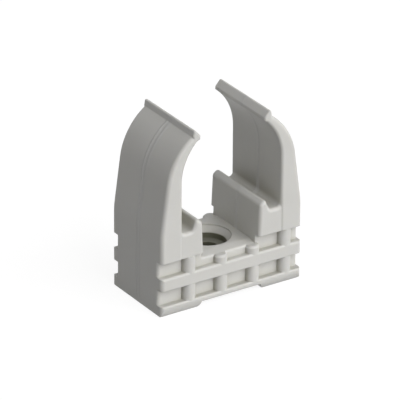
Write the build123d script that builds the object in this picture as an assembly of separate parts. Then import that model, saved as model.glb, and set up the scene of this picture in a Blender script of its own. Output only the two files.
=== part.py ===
from build123d import *

import os
from math import cos, radians, sin, sqrt

# A snap-in conduit clip, moulded in one piece of rigid plastic.
# X runs across the two arms, Y along the conduit, and Z up from the mounting face.
# The origin is the middle of the mounting face. All sizes are in millimetres.

# The conduit, the grip on it and the upright outer edges of the whole clip
conduit_diameter = 25.0
conduit_axis_height = 30.2
mouth_width = 16.1
clip_length = 19.4
outer_edge_radius = 0.9

# The arms
arm_foot_wall = 5.3
arm_wall_at_axis = 3.75
arm_taper_start = 18.9
arm_taper_blend = 12.0
arm_grip_edge_radius = 0.65

# The lip at the end of each arm, measured from the mouth's edge on the conduit
lip_wall = 1.9
lip_height = 2.05
lip_outer_height = 1.35
lip_outer_lean = 0.25
lip_nose_height = 0.7
lip_top_width = 0.5
lip_corner_radius = 0.3
lip_end_chamfer = 0.25

# The posts that carry the conduit, with a gutter between post and arm
post_thickness = 2.95
post_draft = 2.6
post_flank_angle = 68.0
post_edge_radius = 0.8
wall_top_radius = 0.9
ridge_radius = 0.6
seat_flat = 0.2
gutter_width = 2.7
gutter_depth = 4.05
gutter_arm_radius = 1.1
gutter_post_radius = 1.0
web_step = 0.18

# The base, with a floor that falls away towards the front and the back
floor_height = 11.2
floor_edge_drop = 0.4
floor_edge_width = 2.1
floor_bend_radius = 3.0
foot_gap = 16.4
foot_relief = 1.3
foot_relief_slope = 0.85
base_edge_radius = 0.4
panel_edge_radius = 0.8

# The lattice on the front and the back of the base
recess_depth = 1.6
foot_height = 2.55
foot_rim = 0.45
foot_curve_radius = 3.0
rib_bottom = 6.25
rib_top = 9.1
web_bottom = 12.7
upper_edge_radius = 0.5
bar_pitch = 8.1
first_bar = -10.15
bar_count = 4
bar_top_chamfer = 0.4

# The screw hole in the floor
screw_hole_diameter = 5.0
pocket_diameter = 8.5
pocket_depth = 3.0
countersink_diameter = 10.5
countersink_depth = 1.6
rim_step = 0.35

# How far a piece runs into its neighbour, so that the two become one
overlap = 0.5

# Sizes and places that follow from those above
conduit_radius = conduit_diameter / 2
half_length = clip_length / 2
half_width = conduit_radius + arm_foot_wall
mouth_edge = mouth_width / 2
lip_edge = mouth_edge + lip_wall
post_foot = conduit_radius - gutter_width - post_thickness
recess_face = half_length - recess_depth
web_face = half_length - web_step
floor_edge_height = floor_height - floor_edge_drop
bar_places = [first_bar + bar_pitch * number for number in range(bar_count)]


def seat_rise(x):
    """How far the conduit's surface lies above or below its axis at x."""
    return sqrt(conduit_radius**2 - x**2)


def meet_conduit(x, z, angle):
    """Point where a line from (x, z), rising at this angle, first meets the conduit's circle."""
    across, up = cos(radians(angle)), sin(radians(angle))
    rise = z - conduit_axis_height
    along = x * across + rise * up
    distance = -along - sqrt(along**2 - x**2 - rise**2 + conduit_radius**2)
    return x + distance * across, z + distance * up


throat = (mouth_edge, conduit_axis_height + seat_rise(mouth_edge))
lip_top = throat[1] + lip_height
lip_root = (lip_edge, lip_top - lip_outer_height)
gutter_foot = (
    conduit_radius - gutter_width,
    conduit_axis_height - seat_rise(conduit_radius - gutter_width) - gutter_depth,
)


def rounded(face, corners):
    """The face with its corners rounded, from pairs of a corner and its radius."""
    for (across, up), radius in corners:
        corner = face.vertices().sort_by_distance((across, up, 0))[0]
        face = fillet(corner, radius)
    return face


def near(value, place):
    """Whether a coordinate lies at this place, on either side of the middle."""
    return abs(abs(value) - place) < 0.01


def carry_along_conduit(face, end_face):
    """A section across the conduit, as a solid between its two end faces."""
    return extrude(Plane.XZ * face, end_face, both=True)


def end_edges(solid, end_face, is_chosen):
    """The edges round the two end faces whose middle is a chosen place."""
    return solid.edges().filter_by(lambda edge: near(edge.center().Y, end_face) and is_chosen(edge.center()))


def across_clip(face):
    """An outline seen from the side, as a solid across the whole width of the clip."""
    return extrude(Plane.YZ * (face + mirror(face, about=Plane.YZ)), half_width + overlap, both=True)


def both_halves(face):
    """The face and its mirror image across the middle of the clip."""
    return face + mirror(face, about=Plane.YZ)


def both_sides(solid):
    """The solid and its mirror image across the middle of the clip."""
    return solid + mirror(solid, about=Plane.YZ)


def base_side():
    """Half of the base seen from the side: foot, rib, recesses and the falling floor."""
    curve_top = foot_height - foot_rim
    curve_middle = half_length - foot_curve_radius
    curve_reach = sqrt(foot_curve_radius**2 - curve_top**2)
    curve_angle = Vector(1, 0).get_angle(Vector(curve_reach, -curve_top))
    foot_curve = CenterArc((curve_middle, curve_top), foot_curve_radius, -curve_angle, curve_angle)
    bend = (recess_face - floor_edge_width, floor_height)

    lattice = Polyline(
        (half_length, curve_top),
        (half_length, foot_height),
        (recess_face, foot_height),
        (recess_face, rib_bottom),
        (half_length, rib_bottom),
        (half_length, rib_top),
        (recess_face, rib_top),
        (recess_face, floor_edge_height),
        bend,
        (0, floor_height),
        (0, 0),
        (curve_middle + curve_reach, 0),
    )
    return rounded(make_face(Curve() + [foot_curve, lattice]), [
        ((half_length, foot_height), base_edge_radius),
        ((half_length, rib_top), upper_edge_radius),
        ((recess_face, floor_edge_height), upper_edge_radius),
        (bend, floor_bend_radius),
    ])


def base():
    """The base: its section carried along the conduit, then cut to its outlines from the side and above."""
    foot_inside = foot_gap / 2
    relief_inside = foot_inside - foot_relief_slope
    section = Polyline(
        (0, foot_relief),
        (relief_inside, foot_relief),
        (foot_inside, 0),
        (half_width, 0),
        (half_width, floor_height),
        (0, floor_height),
        close=True,
    )
    half = rounded(make_face(section), [
        ((foot_inside, 0), base_edge_radius),
        ((half_width, 0), base_edge_radius),
    ])
    solid = carry_along_conduit(both_halves(half), half_length)
    solid = fillet(end_edges(solid, half_length, lambda place: True), base_edge_radius)
    from_above = extrude(RectangleRounded(2 * half_width, clip_length, outer_edge_radius), floor_height)
    return solid & across_clip(base_side()) & from_above


def upper_side():
    """Half of what lies above the base seen from the side, with the recess under the webs."""
    above = lip_top + overlap
    outline = Polyline(
        (0, rib_top),
        (recess_face, rib_top),
        (recess_face, web_bottom),
        (half_length, web_bottom),
        (half_length, above),
        (0, above),
        close=True,
    )
    return make_face(outline)


def arms():
    """The two arms without their lips."""
    taper_end = (conduit_radius + arm_wall_at_axis, conduit_axis_height)
    taper = (taper_end[0] - half_width, taper_end[1] - arm_taper_start)
    throat_angle = (Vector(*throat) - Vector(0, conduit_axis_height)).get_angle(Vector(1, 0))

    outside = Polyline((half_width, rib_top), (half_width, arm_taper_start), taper_end)
    shoulder = TangentArc(taper_end, lip_root, tangent=taper)
    under_lip = Line(lip_root, throat)
    grip = CenterArc((0, conduit_axis_height), conduit_radius, 0, throat_angle)
    inside = Polyline((conduit_radius, conduit_axis_height), (conduit_radius, rib_top), (half_width, rib_top))
    arm = make_face(Curve() + [outside, shoulder, under_lip, grip, inside])
    arm = rounded(arm, [((half_width, arm_taper_start), arm_taper_blend)])

    def is_open(place):
        hidden_below = place.Z < rib_top + overlap
        return not hidden_below and not near(place.Z, (lip_root[1] + throat[1]) / 2)

    def is_grip(place):
        from_axis = Vector(place.X, place.Z) - Vector(0, conduit_axis_height)
        return near(place.X, conduit_radius) or near(from_axis.length, conduit_radius)

    solid = carry_along_conduit(arm, half_length)
    outer_edges = end_edges(solid, half_length, lambda place: is_open(place) and not is_grip(place))
    solid = fillet(outer_edges, outer_edge_radius)
    grip_edges = end_edges(solid, half_length, lambda place: is_open(place) and is_grip(place))
    solid = fillet(grip_edges, arm_grip_edge_radius)
    return both_sides(solid & across_clip(upper_side()))


def lips():
    """The lip that ends each arm, with its lead-in for the conduit."""
    nose = (mouth_edge, throat[1] + lip_nose_height)
    lead_in_top = (lip_edge - lip_outer_lean - lip_top_width, lip_top)
    top = (lip_edge - lip_outer_lean, lip_top)
    hidden = ((lip_root[0] + throat[0]) / 2 + overlap, throat[1] - overlap)
    lip = rounded(make_face(Polyline(lip_root, top, lead_in_top, nose, throat, hidden, close=True)), [
        (top, lip_corner_radius),
        (lead_in_top, lip_corner_radius),
        (nose, lip_corner_radius),
    ])
    solid = carry_along_conduit(lip, half_length)
    open_edges = end_edges(solid, half_length, lambda place: place.Z > throat[1])
    return both_sides(chamfer(open_edges, lip_end_chamfer))


def posts():
    """The two posts with their webs and gutters, a little shorter than the arms."""
    flank_top = meet_conduit(*gutter_foot, 180 - post_flank_angle)
    wall_foot = (post_foot, floor_height)
    wall_top = meet_conduit(*wall_foot, 90 - post_draft)
    seam = floor_height - floor_edge_drop - overlap
    seat_middle_x = (flank_top[0] + wall_top[0]) / 2
    seat_middle = (seat_middle_x, conduit_axis_height - seat_rise(seat_middle_x))
    arm_seam = conduit_radius + post_edge_radius + overlap
    gutter_corner = (conduit_radius, gutter_foot[1])
    gutter_arm_top = gutter_foot[1] + gutter_arm_radius + overlap

    # On a narrow seat the rounds shrink together, so that a flat stays between them
    seat_width = (Vector(*wall_top) - Vector(*flank_top)).length
    rounds_share = min(1, seat_width / (ridge_radius + wall_top_radius + seat_flat))

    web_and_gutter = Polyline(
        wall_foot,
        (post_foot, seam),
        (arm_seam, seam),
        (arm_seam, gutter_arm_top),
        (conduit_radius, gutter_arm_top),
        gutter_corner,
        gutter_foot,
        flank_top,
    )
    seat = ThreePointArc(flank_top, seat_middle, wall_top)
    wall = Line(wall_top, wall_foot)
    post = rounded(make_face(Curve() + [web_and_gutter, seat, wall]), [
        (gutter_corner, gutter_arm_radius),
        (gutter_foot, gutter_post_radius),
        (flank_top, rounds_share * ridge_radius),
        (wall_top, rounds_share * wall_top_radius),
    ])
    solid = carry_along_conduit(post, web_face)
    open_edges = end_edges(
        solid,
        web_face,
        lambda place: place.Z > floor_height and place.X < conduit_radius,
    )
    solid = fillet(open_edges, rounds_share * post_edge_radius)
    return both_sides(solid & across_clip(upper_side()))


def bar(x):
    """A half-round upright bar of the lattice, as a full one half sunk in the base."""
    stands_free = abs(x) < post_foot
    bottom = foot_height - base_edge_radius
    top = floor_edge_height if stands_free else web_bottom
    upright = Cylinder(recess_depth, top - bottom, align=(Align.CENTER, Align.CENTER, Align.MIN))
    if stands_free:
        upright = chamfer(upright.edges().sort_by(Axis.Z)[-1], bar_top_chamfer)
    return Pos(x, 0, bottom) * upright


def lattice_bars():
    """The bars at the same places on the front and the back."""
    row = [bar(x) for x in bar_places]
    return [Pos(0, side * recess_face, 0) * upright for side in (-1, 1) for upright in row]


def screw_hole():
    """What the screw hole takes out: rim step, countersink, pocket for the head and the hole."""
    rim = countersink_diameter / 2
    pocket = pocket_diameter / 2
    hole = screw_hole_diameter / 2
    outline = Polyline(
        (0, floor_height + overlap),
        (rim, floor_height + overlap),
        (rim, floor_height - rim_step),
        (pocket, floor_height - countersink_depth),
        (pocket, floor_height - pocket_depth),
        (hole, floor_height - pocket_depth),
        (hole, -overlap),
        (0, -overlap),
        close=True,
    )
    return revolve(Plane.XZ * make_face(outline), Axis.Z)


def soften_panels(body):
    """The body with the upright corners of its recessed panels rounded."""
    corners = body.edges().filter_by(Axis.Z).filter_by(
        lambda edge: near(edge.center().X, half_width) and near(edge.center().Y, recess_face)
    )
    return fillet(corners, panel_edge_radius)


clip = soften_panels(base() + arms())
clip = clip + lips() + posts()
clip = clip + lattice_bars()
clip = clip - screw_hole()

os.makedirs("parts", exist_ok=True)
export_step(clip, "parts/conduit_clip.step")
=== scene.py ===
from math import cos, radians, sin

import bpy
import numpy as np
from mathutils import Matrix, Vector


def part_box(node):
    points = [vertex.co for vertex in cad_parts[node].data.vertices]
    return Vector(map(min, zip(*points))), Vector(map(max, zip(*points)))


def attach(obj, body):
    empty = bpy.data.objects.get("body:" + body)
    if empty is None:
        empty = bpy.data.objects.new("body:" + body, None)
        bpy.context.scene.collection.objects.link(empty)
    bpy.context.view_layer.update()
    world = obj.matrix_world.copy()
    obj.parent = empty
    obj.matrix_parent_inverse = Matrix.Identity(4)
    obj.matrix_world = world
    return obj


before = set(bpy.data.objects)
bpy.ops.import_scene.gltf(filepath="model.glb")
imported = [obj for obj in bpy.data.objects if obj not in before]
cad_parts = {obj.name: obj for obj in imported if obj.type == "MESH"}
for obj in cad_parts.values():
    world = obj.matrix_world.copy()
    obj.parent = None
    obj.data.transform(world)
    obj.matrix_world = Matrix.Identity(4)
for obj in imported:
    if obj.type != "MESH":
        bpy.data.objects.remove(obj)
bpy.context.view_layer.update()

millimetre = 0.001
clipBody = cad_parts["conduit_clip"]
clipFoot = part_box("conduit_clip")[0].z
print("frame loaded:", len(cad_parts), "node")


# Moulded plastic

plasticLook = {
    "colour": (0.615, 0.608, 0.582, 1.0),
    "shadeColour": (0.575, 0.570, 0.538, 1.0),
    "roughness": 0.48,
    "roughnessSpread": 0.10,
    "refraction": 1.46,
    "cloudSize": 8.5 * millimetre,       # slow changes of tone and gloss
    "cloudDetail": 4.0,
    "cloudRange": (0.35, 1.4),
    "grainSize": 0.16 * millimetre,      # the mould's fine spark-eroded grain
    "grainDetail": 3.0,
    "grainHeight": 0.006 * millimetre,
    "rippleSize": 5.0 * millimetre,      # faint sink marks
    "rippleDetail": 1.0,
    "rippleHeight": 0.012 * millimetre,
    "edgeRound": 0.25 * millimetre,
    "edgeSamples": 6,
    # Painted shade: the colour that hollows and corners turn towards, by how closely the clip's own
    # surface closes them in
    "cornerShadeColour": (0.430, 0.420, 0.370, 1.0),
    "cornerReach": 12.0 * millimetre,
    "cornerSamples": 8,
    "hollowOpenness": 0.20,
    "plainOpenness": 0.80,
    "subsurface": 0.12,
    "subsurfaceRadius": (1.0, 0.9, 0.6),
    "subsurfaceScale": 0.9 * millimetre,
    # Painted shade: the dark that stands for the shadow inside the screw's pocket
    "pocketShadeColour": (0.145, 0.145, 0.105, 1.0),
    "pocketReach": 4.7 * millimetre,     # from the screw's axis
    "pocketTop": 9.75 * millimetre,
    "pocketBlend": 0.35 * millimetre,
    "shelfHeight": 8.20 * millimetre,
    "shelfShare": 0.75,
    "holeReach": 2.60 * millimetre,
    "holeBlend": 0.0875 * millimetre,
}


def addNode(tree, kind, **settings):
    # One node, with its plain properties set from the keywords
    node = tree.nodes.new(kind)
    for name, value in settings.items():
        setattr(node, name, value)
    return node


def mathNode(tree, operation, first, second=None, third=None):
    # A Math node whose inputs are sockets or plain numbers
    node = addNode(tree, "ShaderNodeMath", operation=operation)
    for index, value in enumerate((first, second, third)):
        if value is None:
            continue
        if isinstance(value, (int, float)):
            node.inputs[index].default_value = value
        else:
            tree.links.new(value, node.inputs[index])
    return node.outputs[0]


def spread(tree, value, low, high):
    # A value between 0 and 1 carried to the range from low to high
    node = addNode(tree, "ShaderNodeMapRange")
    tree.links.new(value, node.inputs["Value"])
    node.inputs["To Min"].default_value = low
    node.inputs["To Max"].default_value = high
    return node.outputs["Result"]


def fade(tree, value, start, end):
    # 1 up to start, falling smoothly to 0 at end
    node = addNode(tree, "ShaderNodeMapRange", interpolation_type="SMOOTHSTEP")
    tree.links.new(value, node.inputs["Value"])
    node.inputs["From Min"].default_value = start
    node.inputs["From Max"].default_value = end
    node.inputs["To Min"].default_value = 1.0
    node.inputs["To Max"].default_value = 0.0
    return node.outputs["Result"]


def mixColour(tree, factor, first, second):
    # The first colour where the factor is 0, the second where it is 1
    node = addNode(tree, "ShaderNodeMix", data_type="RGBA")
    tree.links.new(factor, node.inputs["Factor"])
    for name, value in (("A", first), ("B", second)):
        if isinstance(value, tuple):
            node.inputs[name].default_value = value
        else:
            tree.links.new(value, node.inputs[name])
    return node.outputs["Result"]


def addNoise(tree, place, size, detail):
    # Noise between 0 and 1 whose broadest spots are about as wide as size
    node = addNode(tree, "ShaderNodeTexNoise")
    node.inputs["Scale"].default_value = 1.0 / size
    node.inputs["Detail"].default_value = detail
    tree.links.new(place, node.inputs["Vector"])
    return node.outputs["Fac"]


def shadePocket(tree, place, look):
    # Painted shade in the screw's pocket: 1 in the pocket and hole, told by the height and the distance
    # from the Z axis, less on the shelf between them, and 0 elsewhere
    axes = addNode(tree, "ShaderNodeSeparateXYZ")
    tree.links.new(place, axes.inputs[0])
    across, along, height = axes.outputs
    fromAxis = mathNode(tree, "SQRT", mathNode(
        tree, "MULTIPLY_ADD", along, along, mathNode(tree, "MULTIPLY", across, across)))
    inPocket = mathNode(
        tree, "MULTIPLY",
        fade(tree, fromAxis, look["pocketReach"], look["pocketReach"] + look["pocketBlend"]),
        fade(tree, height, look["pocketTop"] - look["pocketBlend"], look["pocketTop"]))
    inHole = fade(tree, fromAxis, look["holeReach"] - look["holeBlend"], look["holeReach"])
    onShelf = mathNode(
        tree, "MULTIPLY",
        fade(tree, height, look["shelfHeight"], look["shelfHeight"] + look["pocketBlend"]),
        mathNode(tree, "SUBTRACT", 1.0, inHole))
    return mathNode(tree, "MULTIPLY", inPocket, spread(tree, onShelf, 1.0, look["shelfShare"]))


def roundEdges(tree, look):
    # The surface's direction, turned smoothly from face to face within edgeRound of an edge
    edge = addNode(tree, "ShaderNodeBevel", samples=look["edgeSamples"])
    edge.inputs["Radius"].default_value = look["edgeRound"]
    return edge.outputs["Normal"]


def steepenSlopes(tree, gain):
    # The surface's direction with its slope along the conduit times gain, so that a line too fine for a
    # pixel still catches the light
    steeper = addNode(tree, "ShaderNodeVectorMath", operation="MULTIPLY")
    tree.links.new(addNode(tree, "ShaderNodeNewGeometry").outputs["Normal"], steeper.inputs[0])
    steeper.inputs[1].default_value = (1.0, gain, 1.0)
    direction = addNode(tree, "ShaderNodeVectorMath", operation="NORMALIZE")
    tree.links.new(steeper.outputs[0], direction.inputs[0])
    return direction.outputs[0]


def makePlastic(name, look):
    # Two greys in slow clouds, with painted shade, darker and warmer, in hollows and painted shade,
    # dark, in the screw's pocket, with grain and ripples in relief
    material = bpy.data.materials.new(name)
    material.use_nodes = True
    tree = material.node_tree
    shader = tree.nodes["Principled BSDF"]
    place = addNode(tree, "ShaderNodeTexCoord").outputs["Object"]
    cloud = addNoise(tree, place, look["cloudSize"], look["cloudDetail"])
    grain = addNoise(tree, place, look["grainSize"], look["grainDetail"])
    ripple = addNoise(tree, place, look["rippleSize"], look["rippleDetail"])

    openness = addNode(
        tree, "ShaderNodeAmbientOcclusion", samples=look["cornerSamples"], only_local=True)
    openness.inputs["Distance"].default_value = look["cornerReach"]
    hollowShade = fade(tree, openness.outputs["AO"], look["hollowOpenness"], look["plainOpenness"])
    tone = spread(tree, cloud, *look["cloudRange"])
    tone = mixColour(tree, tone, look["shadeColour"], look["colour"])
    # Painted shade in hollows and corners, where little of the surround is open
    tone = mixColour(tree, hollowShade, tone, look["cornerShadeColour"])
    # Painted shade in the screw's pocket and hole, lighter on the shelf
    tone = mixColour(tree, shadePocket(tree, place, look), tone, look["pocketShadeColour"])
    tree.links.new(tone, shader.inputs["Base Color"])

    rough = spread(tree, cloud, look["roughness"] - look["roughnessSpread"],
                   look["roughness"] + look["roughnessSpread"])
    tree.links.new(rough, shader.inputs["Roughness"])

    height = mathNode(tree, "MULTIPLY", grain, look["grainHeight"])
    height = mathNode(tree, "MULTIPLY_ADD", ripple, look["rippleHeight"], height)
    bump = addNode(tree, "ShaderNodeBump")
    bump.inputs["Distance"].default_value = 1.0
    tree.links.new(height, bump.inputs["Height"])
    if "slopeGain" in look:
        direction = steepenSlopes(tree, look["slopeGain"])
    else:
        direction = roundEdges(tree, look)
    tree.links.new(direction, bump.inputs["Normal"])
    tree.links.new(bump.outputs["Normal"], shader.inputs["Normal"])

    shader.inputs["IOR"].default_value = look["refraction"]
    shader.inputs["Subsurface Weight"].default_value = look["subsurface"]
    shader.inputs["Subsurface Radius"].default_value = look["subsurfaceRadius"]
    shader.inputs["Subsurface Scale"].default_value = look["subsurfaceScale"]
    return material


clipPlastic = makePlastic("lightGreyPlastic", plasticLook)
for slot in clipBody.material_slots:
    slot.material = clipPlastic
print("plastic on the clip")


# Parting line: where the two halves of the mould met, a faint groove on the clip's outside and a faint
# ridge on its inside, in greys a shade darker than the clip's as painted shade

lineShadedLook = {
    **plasticLook,
    # Greys a shade darker than the clip's: painted shade that darkens the fine line
    "colour": (0.606, 0.599, 0.573, 1.0),
    "shadeColour": (0.567, 0.562, 0.530, 1.0),
    "slopeGain": 3.2,
}

partingLine = {
    "place": -0.30 * millimetre,         # along the conduit, from the clip's middle
    "rise": 0.050 * millimetre,
    "sunk": 0.050 * millimetre,
    "grooveAcross": (-1.05, -0.60, 0.00, 0.70, 1.00),   # millimetres from the line's middle
    "grooveHeight": (0.00, 0.50, 0.06, 0.90, 0.00),     # shares of rise
    "ridgeAcross": (-0.85, -0.60, -0.35, 0.00, 0.35),
    "ridgeHeight": (0.00, 0.30, 0.60, 0.30, 0.00),
    "outsideFacing": 0.2,                # a surface that leans outwards by more than this has the groove
    "step": 0.25 * millimetre,           # between two profiles
    "holeReach": 5.4 * millimetre,       # kept clear round the screw's axis
    "lowest": 0.5 * millimetre,          # kept clear above the mounting face
    "weld": 0.0001 * millimetre,         # ends nearer than this are one point
}


def cutTriangles(body, place):
    # Where the plane Y = place cuts each triangle: on a side from p to q, whose ends lie a and b beyond
    # the plane, the cut is at p + (q - p) * a / (a - b)
    mesh = body.data
    corners = np.empty(len(mesh.vertices) * 3)
    mesh.vertices.foreach_get("co", corners)
    mesh.calc_loop_triangles()
    triangles = np.empty(len(mesh.loop_triangles) * 3, dtype=int)
    mesh.loop_triangles.foreach_get("vertices", triangles)
    points = corners.reshape(-1, 3)[triangles.reshape(-1, 3)]
    beyond = points[:, :, 1] - place
    crossing = (beyond.min(axis=1) < 0) & (beyond.max(axis=1) >= 0)
    points, beyond = points[crossing], beyond[crossing]

    following, beyondFollowing = np.roll(points, -1, axis=1), np.roll(beyond, -1, axis=1)
    apart = np.where(beyond == beyondFollowing, 1.0, beyond - beyondFollowing)
    spots = points + (beyond / apart)[:, :, None] * (following - points)
    cut = (beyond < 0) != (beyondFollowing < 0)
    return spots[cut][:, [0, 2]].reshape(-1, 2, 2)


def joinLoops(segments, weld):
    # The segments, joined end to end into closed runs of (X, Z) points
    neighbours = {}
    for start, end in np.round(segments / weld).astype(int).tolist():
        if start != end:
            neighbours.setdefault(tuple(start), []).append(tuple(end))
            neighbours.setdefault(tuple(end), []).append(tuple(start))
    loops = []
    while neighbours:
        spot = next(iter(neighbours))
        loop = []
        while spot in neighbours:
            loop.append(spot)
            onward = [other for other in neighbours.pop(spot) if other in neighbours]
            spot = onward[0] if onward else None
        loops.append(np.array(loop) * weld)
    return loops


def openRun(loop, plan):
    # The part of a loop outside the screw hole and above the foot, in even steps and anticlockwise
    kept = (np.abs(loop[:, 0]) > plan["holeReach"]) & (loop[:, 1] > plan["lowest"])
    runs = []
    for start in np.flatnonzero(kept & ~np.roll(kept, 1)):
        turned, shown = np.roll(loop, -start, axis=0), np.roll(kept, -start)
        runs.append(turned[:np.argmin(shown)] if not shown.all() else turned)
    run = max(runs, key=len)
    travelled = np.concatenate([[0.0], np.cumsum(np.hypot(*np.diff(run, axis=0).T))])
    stops = np.linspace(0.0, travelled[-1], int(travelled[-1] / plan["step"]) + 1)
    path = np.column_stack([np.interp(stops, travelled, run[:, axis]) for axis in (0, 1)])

    following = np.roll(loop, -1, axis=0)
    turn = np.sum(loop[:, 0] * following[:, 1] - following[:, 0] * loop[:, 1])
    return path if turn > 0 else path[::-1]


def sweepLine(path, plan):
    # A profile carried along the path: banks with a groove between them where the clip faces outwards, a
    # low ridge elsewhere. A point of the profile lies at place + across along the conduit, and at its
    # height from the surface along outward, which is the path's direction (x, z) turned to (z, -x)
    along = np.gradient(path, axis=0)
    along /= np.hypot(*along.T)[:, None]
    outward = np.column_stack([along[:, 1], -along[:, 0]])
    grooved = outward[:, :1] * np.sign(path[:, :1]) > plan["outsideFacing"]
    across = millimetre * np.where(grooved, plan["grooveAcross"], plan["ridgeAcross"])
    height = plan["rise"] * np.where(grooved, plan["grooveHeight"], plan["ridgeHeight"])
    level = plan["place"] + np.concatenate([across, across[:, ::-1]], axis=1)
    height = np.concatenate([height, np.full_like(height, -plan["sunk"])], axis=1)
    rows, columns = level.shape
    spots = path[:, None, :] + outward[:, None, :] * height[:, :, None]
    grid = np.stack([spots[:, :, 0], level, spots[:, :, 1]], axis=2).reshape(-1, 3)

    row, column = np.meshgrid(np.arange(rows - 1), np.arange(columns), indexing="ij")
    here, beside = row * columns + column, row * columns + (column + 1) % columns
    walls = np.stack([here, beside, beside + columns, here + columns], axis=2).reshape(-1, 4)
    caps = [list(range(columns - 1, -1, -1)), list(range((rows - 1) * columns, rows * columns))]
    return grid, walls.tolist() + caps


def makePartingLine(body, plan, finish):
    # One closed strip for each half of the clip, carried along the outline that the line's plane cuts
    for loop in joinLoops(cutTriangles(body, plan["place"]), plan["weld"]):
        path = openRun(loop, plan)
        name = "parting_line_left" if path[:, 0].mean() < 0 else "parting_line_right"
        grid, faces = sweepLine(path, plan)
        mesh = bpy.data.meshes.new(name)
        mesh.from_pydata(grid.tolist(), [], faces)
        mesh.materials.append(finish)
        strip = bpy.data.objects.new(name, mesh)
        bpy.context.scene.collection.objects.link(strip)
        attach(strip, "root")
        print(name, len(path), "steps")


makePartingLine(clipBody, partingLine, makePlastic("lineShadedPlastic", lineShadedLook))


# Camera: the place and the lens that put the clip's corners on those of the photograph

view = {
    "turn": radians(33.2725),
    "elevation": radians(26.1167),
    "roll": radians(0.3662),
    "aimHeight": 19.085 * millimetre,
    "distance": 1.0176,
    "lens": 429.85,
    "filmWidth": 36.0,
    "shift": (-0.018319, 0.003574),
    "farthest": 10.0,
}


def placeCamera(plan):
    # From a point on the clip's axis, the camera stands back along a direction turned to the left of the
    # front and raised, and is then rolled about it
    turn, elevation, roll = plan["turn"], plan["elevation"], plan["roll"]
    backward = Vector((-sin(turn) * cos(elevation), -cos(turn) * cos(elevation), sin(elevation)))
    level = Vector((cos(turn), -sin(turn), 0.0))
    upward = backward.cross(level)
    right = cos(roll) * level + sin(roll) * upward
    top = cos(roll) * upward - sin(roll) * level

    lens = bpy.data.cameras.new("camera")
    lens.sensor_width = plan["filmWidth"]
    lens.lens = plan["lens"]
    lens.shift_x, lens.shift_y = plan["shift"]
    lens.clip_end = plan["farthest"]
    camera = bpy.data.objects.new("camera", lens)
    bpy.context.scene.collection.objects.link(camera)
    aim = Vector((0.0, 0.0, plan["aimHeight"]))
    turned = Matrix((right, top, backward)).transposed().to_4x4()
    camera.matrix_world = Matrix.Translation(aim + plan["distance"] * backward) @ turned
    bpy.context.scene.camera = camera


placeCamera(view)
print("camera placed")


# Studio

studio = {
    "floorSize": 6.0,
    "floorColour": (0.25, 0.25, 0.25, 1.0),
    "shadowShare": 0.20,
    "shadowColour": (0.95, 0.95, 0.95, 1.0),
    "paperWhite": 1.12,
    "worldColour": (1.0, 1.0, 1.0, 1.0),
    "worldLow": 0.01,
    "worldHigh": 0.23,
    "keyStrength": 3.75,
    "keyFrom": (0.34, -0.87, 0.34),
    "keySpread": radians(80),
    "fillStrength": 0.30,
    "fillFrom": (-0.30, 0.55, 0.78),
    "fillSpread": radians(80),
    "sideStrength": 0.20,
    "sideFrom": (-0.90, -0.10, 0.38),
    "sideSpread": radians(30),
}


def seenByCamera(tree):
    # 1 for rays sent out by the camera, a mirror or a clear surface, 0 for light that falls on things
    path = addNode(tree, "ShaderNodeLightPath")
    seen = mathNode(tree, "MAXIMUM", path.outputs["Is Camera Ray"], path.outputs["Is Glossy Ray"])
    return mathNode(tree, "MAXIMUM", seen, path.outputs["Is Transmission Ray"])


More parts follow.
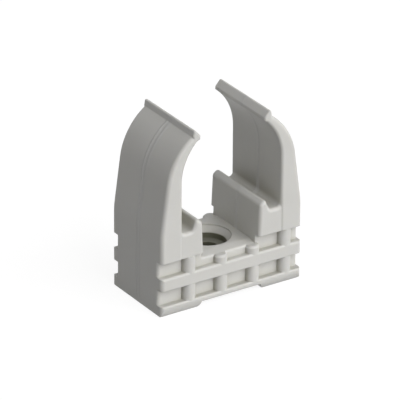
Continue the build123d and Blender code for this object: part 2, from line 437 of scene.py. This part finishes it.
def makeFloorFinish(plan):
    # Pale paper: what the camera sees is white with a share of the shadow left in it
    material = bpy.data.materials.new("palePaper")
    material.use_nodes = True
    tree = material.node_tree
    tree.nodes.clear()
    paper = addNode(tree, "ShaderNodeBsdfDiffuse")
    paper.inputs["Color"].default_value = plan["floorColour"]
    shaded = addNode(tree, "ShaderNodeBsdfDiffuse")
    shaded.inputs["Color"].default_value = plan["shadowColour"]
    white = addNode(tree, "ShaderNodeEmission")
    white.inputs["Strength"].default_value = plan["paperWhite"]
    shown = addNode(tree, "ShaderNodeMixShader")
    shown.inputs[0].default_value = plan["shadowShare"]
    tree.links.new(white.outputs[0], shown.inputs[1])
    tree.links.new(shaded.outputs[0], shown.inputs[2])
    choice = addNode(tree, "ShaderNodeMixShader")
    tree.links.new(seenByCamera(tree), choice.inputs[0])
    tree.links.new(paper.outputs[0], choice.inputs[1])
    tree.links.new(shown.outputs[0], choice.inputs[2])
    output = addNode(tree, "ShaderNodeOutputMaterial")
    tree.links.new(choice.outputs[0], output.inputs["Surface"])
    return material


def layFloor(plan):
    # A square grid of two by two corners, level with the clip's feet
    corner = np.array([(-1, -1), (1, -1), (1, 1), (-1, 1)]) * plan["floorSize"] / 2
    points = np.column_stack([corner, np.full(4, clipFoot)])
    mesh = bpy.data.meshes.new("floor")
    mesh.from_pydata(points.tolist(), [], [(0, 1, 2, 3)])
    mesh.materials.append(makeFloorFinish(plan))
    floor = bpy.data.objects.new("floor", mesh)
    bpy.context.scene.collection.objects.link(floor)


def hangLamp(name, strength, origin, spreadAngle):
    # A far lamp that shines from origin towards the clip; its spread softens the shadows
    lamp = bpy.data.lights.new(name, "SUN")
    lamp.energy = strength
    lamp.angle = spreadAngle
    hung = bpy.data.objects.new(name, lamp)
    hung.matrix_world = Vector(origin).to_track_quat("Z", "Y").to_matrix().to_4x4()
    bpy.context.scene.collection.objects.link(hung)


def lightStudio(plan):
    # A dim surround, brighter overhead, that the camera sees as white; a broad lamp from the front and
    # weak ones from behind and from the left
    world = bpy.data.worlds.new("surround")
    bpy.context.scene.world = world
    world.use_nodes = True
    tree = world.node_tree
    background = tree.nodes["Background"]
    background.inputs["Color"].default_value = plan["worldColour"]
    direction = addNode(tree, "ShaderNodeSeparateXYZ")
    tree.links.new(addNode(tree, "ShaderNodeTexCoord").outputs["Generated"], direction.inputs[0])
    overhead = spread(tree, direction.outputs["Z"], plan["worldLow"], plan["worldHigh"])
    seen = seenByCamera(tree)
    dimmed = mathNode(tree, "MULTIPLY", overhead, mathNode(tree, "SUBTRACT", 1.0, seen))
    tree.links.new(mathNode(tree, "ADD", dimmed, seen), background.inputs["Strength"])
    for lamp in ("key", "fill", "side"):
        hangLamp(lamp + "Lamp", plan[lamp + "Strength"], plan[lamp + "From"], plan[lamp + "Spread"])


layFloor(studio)
lightStudio(studio)
bpy.context.scene.view_settings.view_transform = "Standard"
print("floor and lamps set")
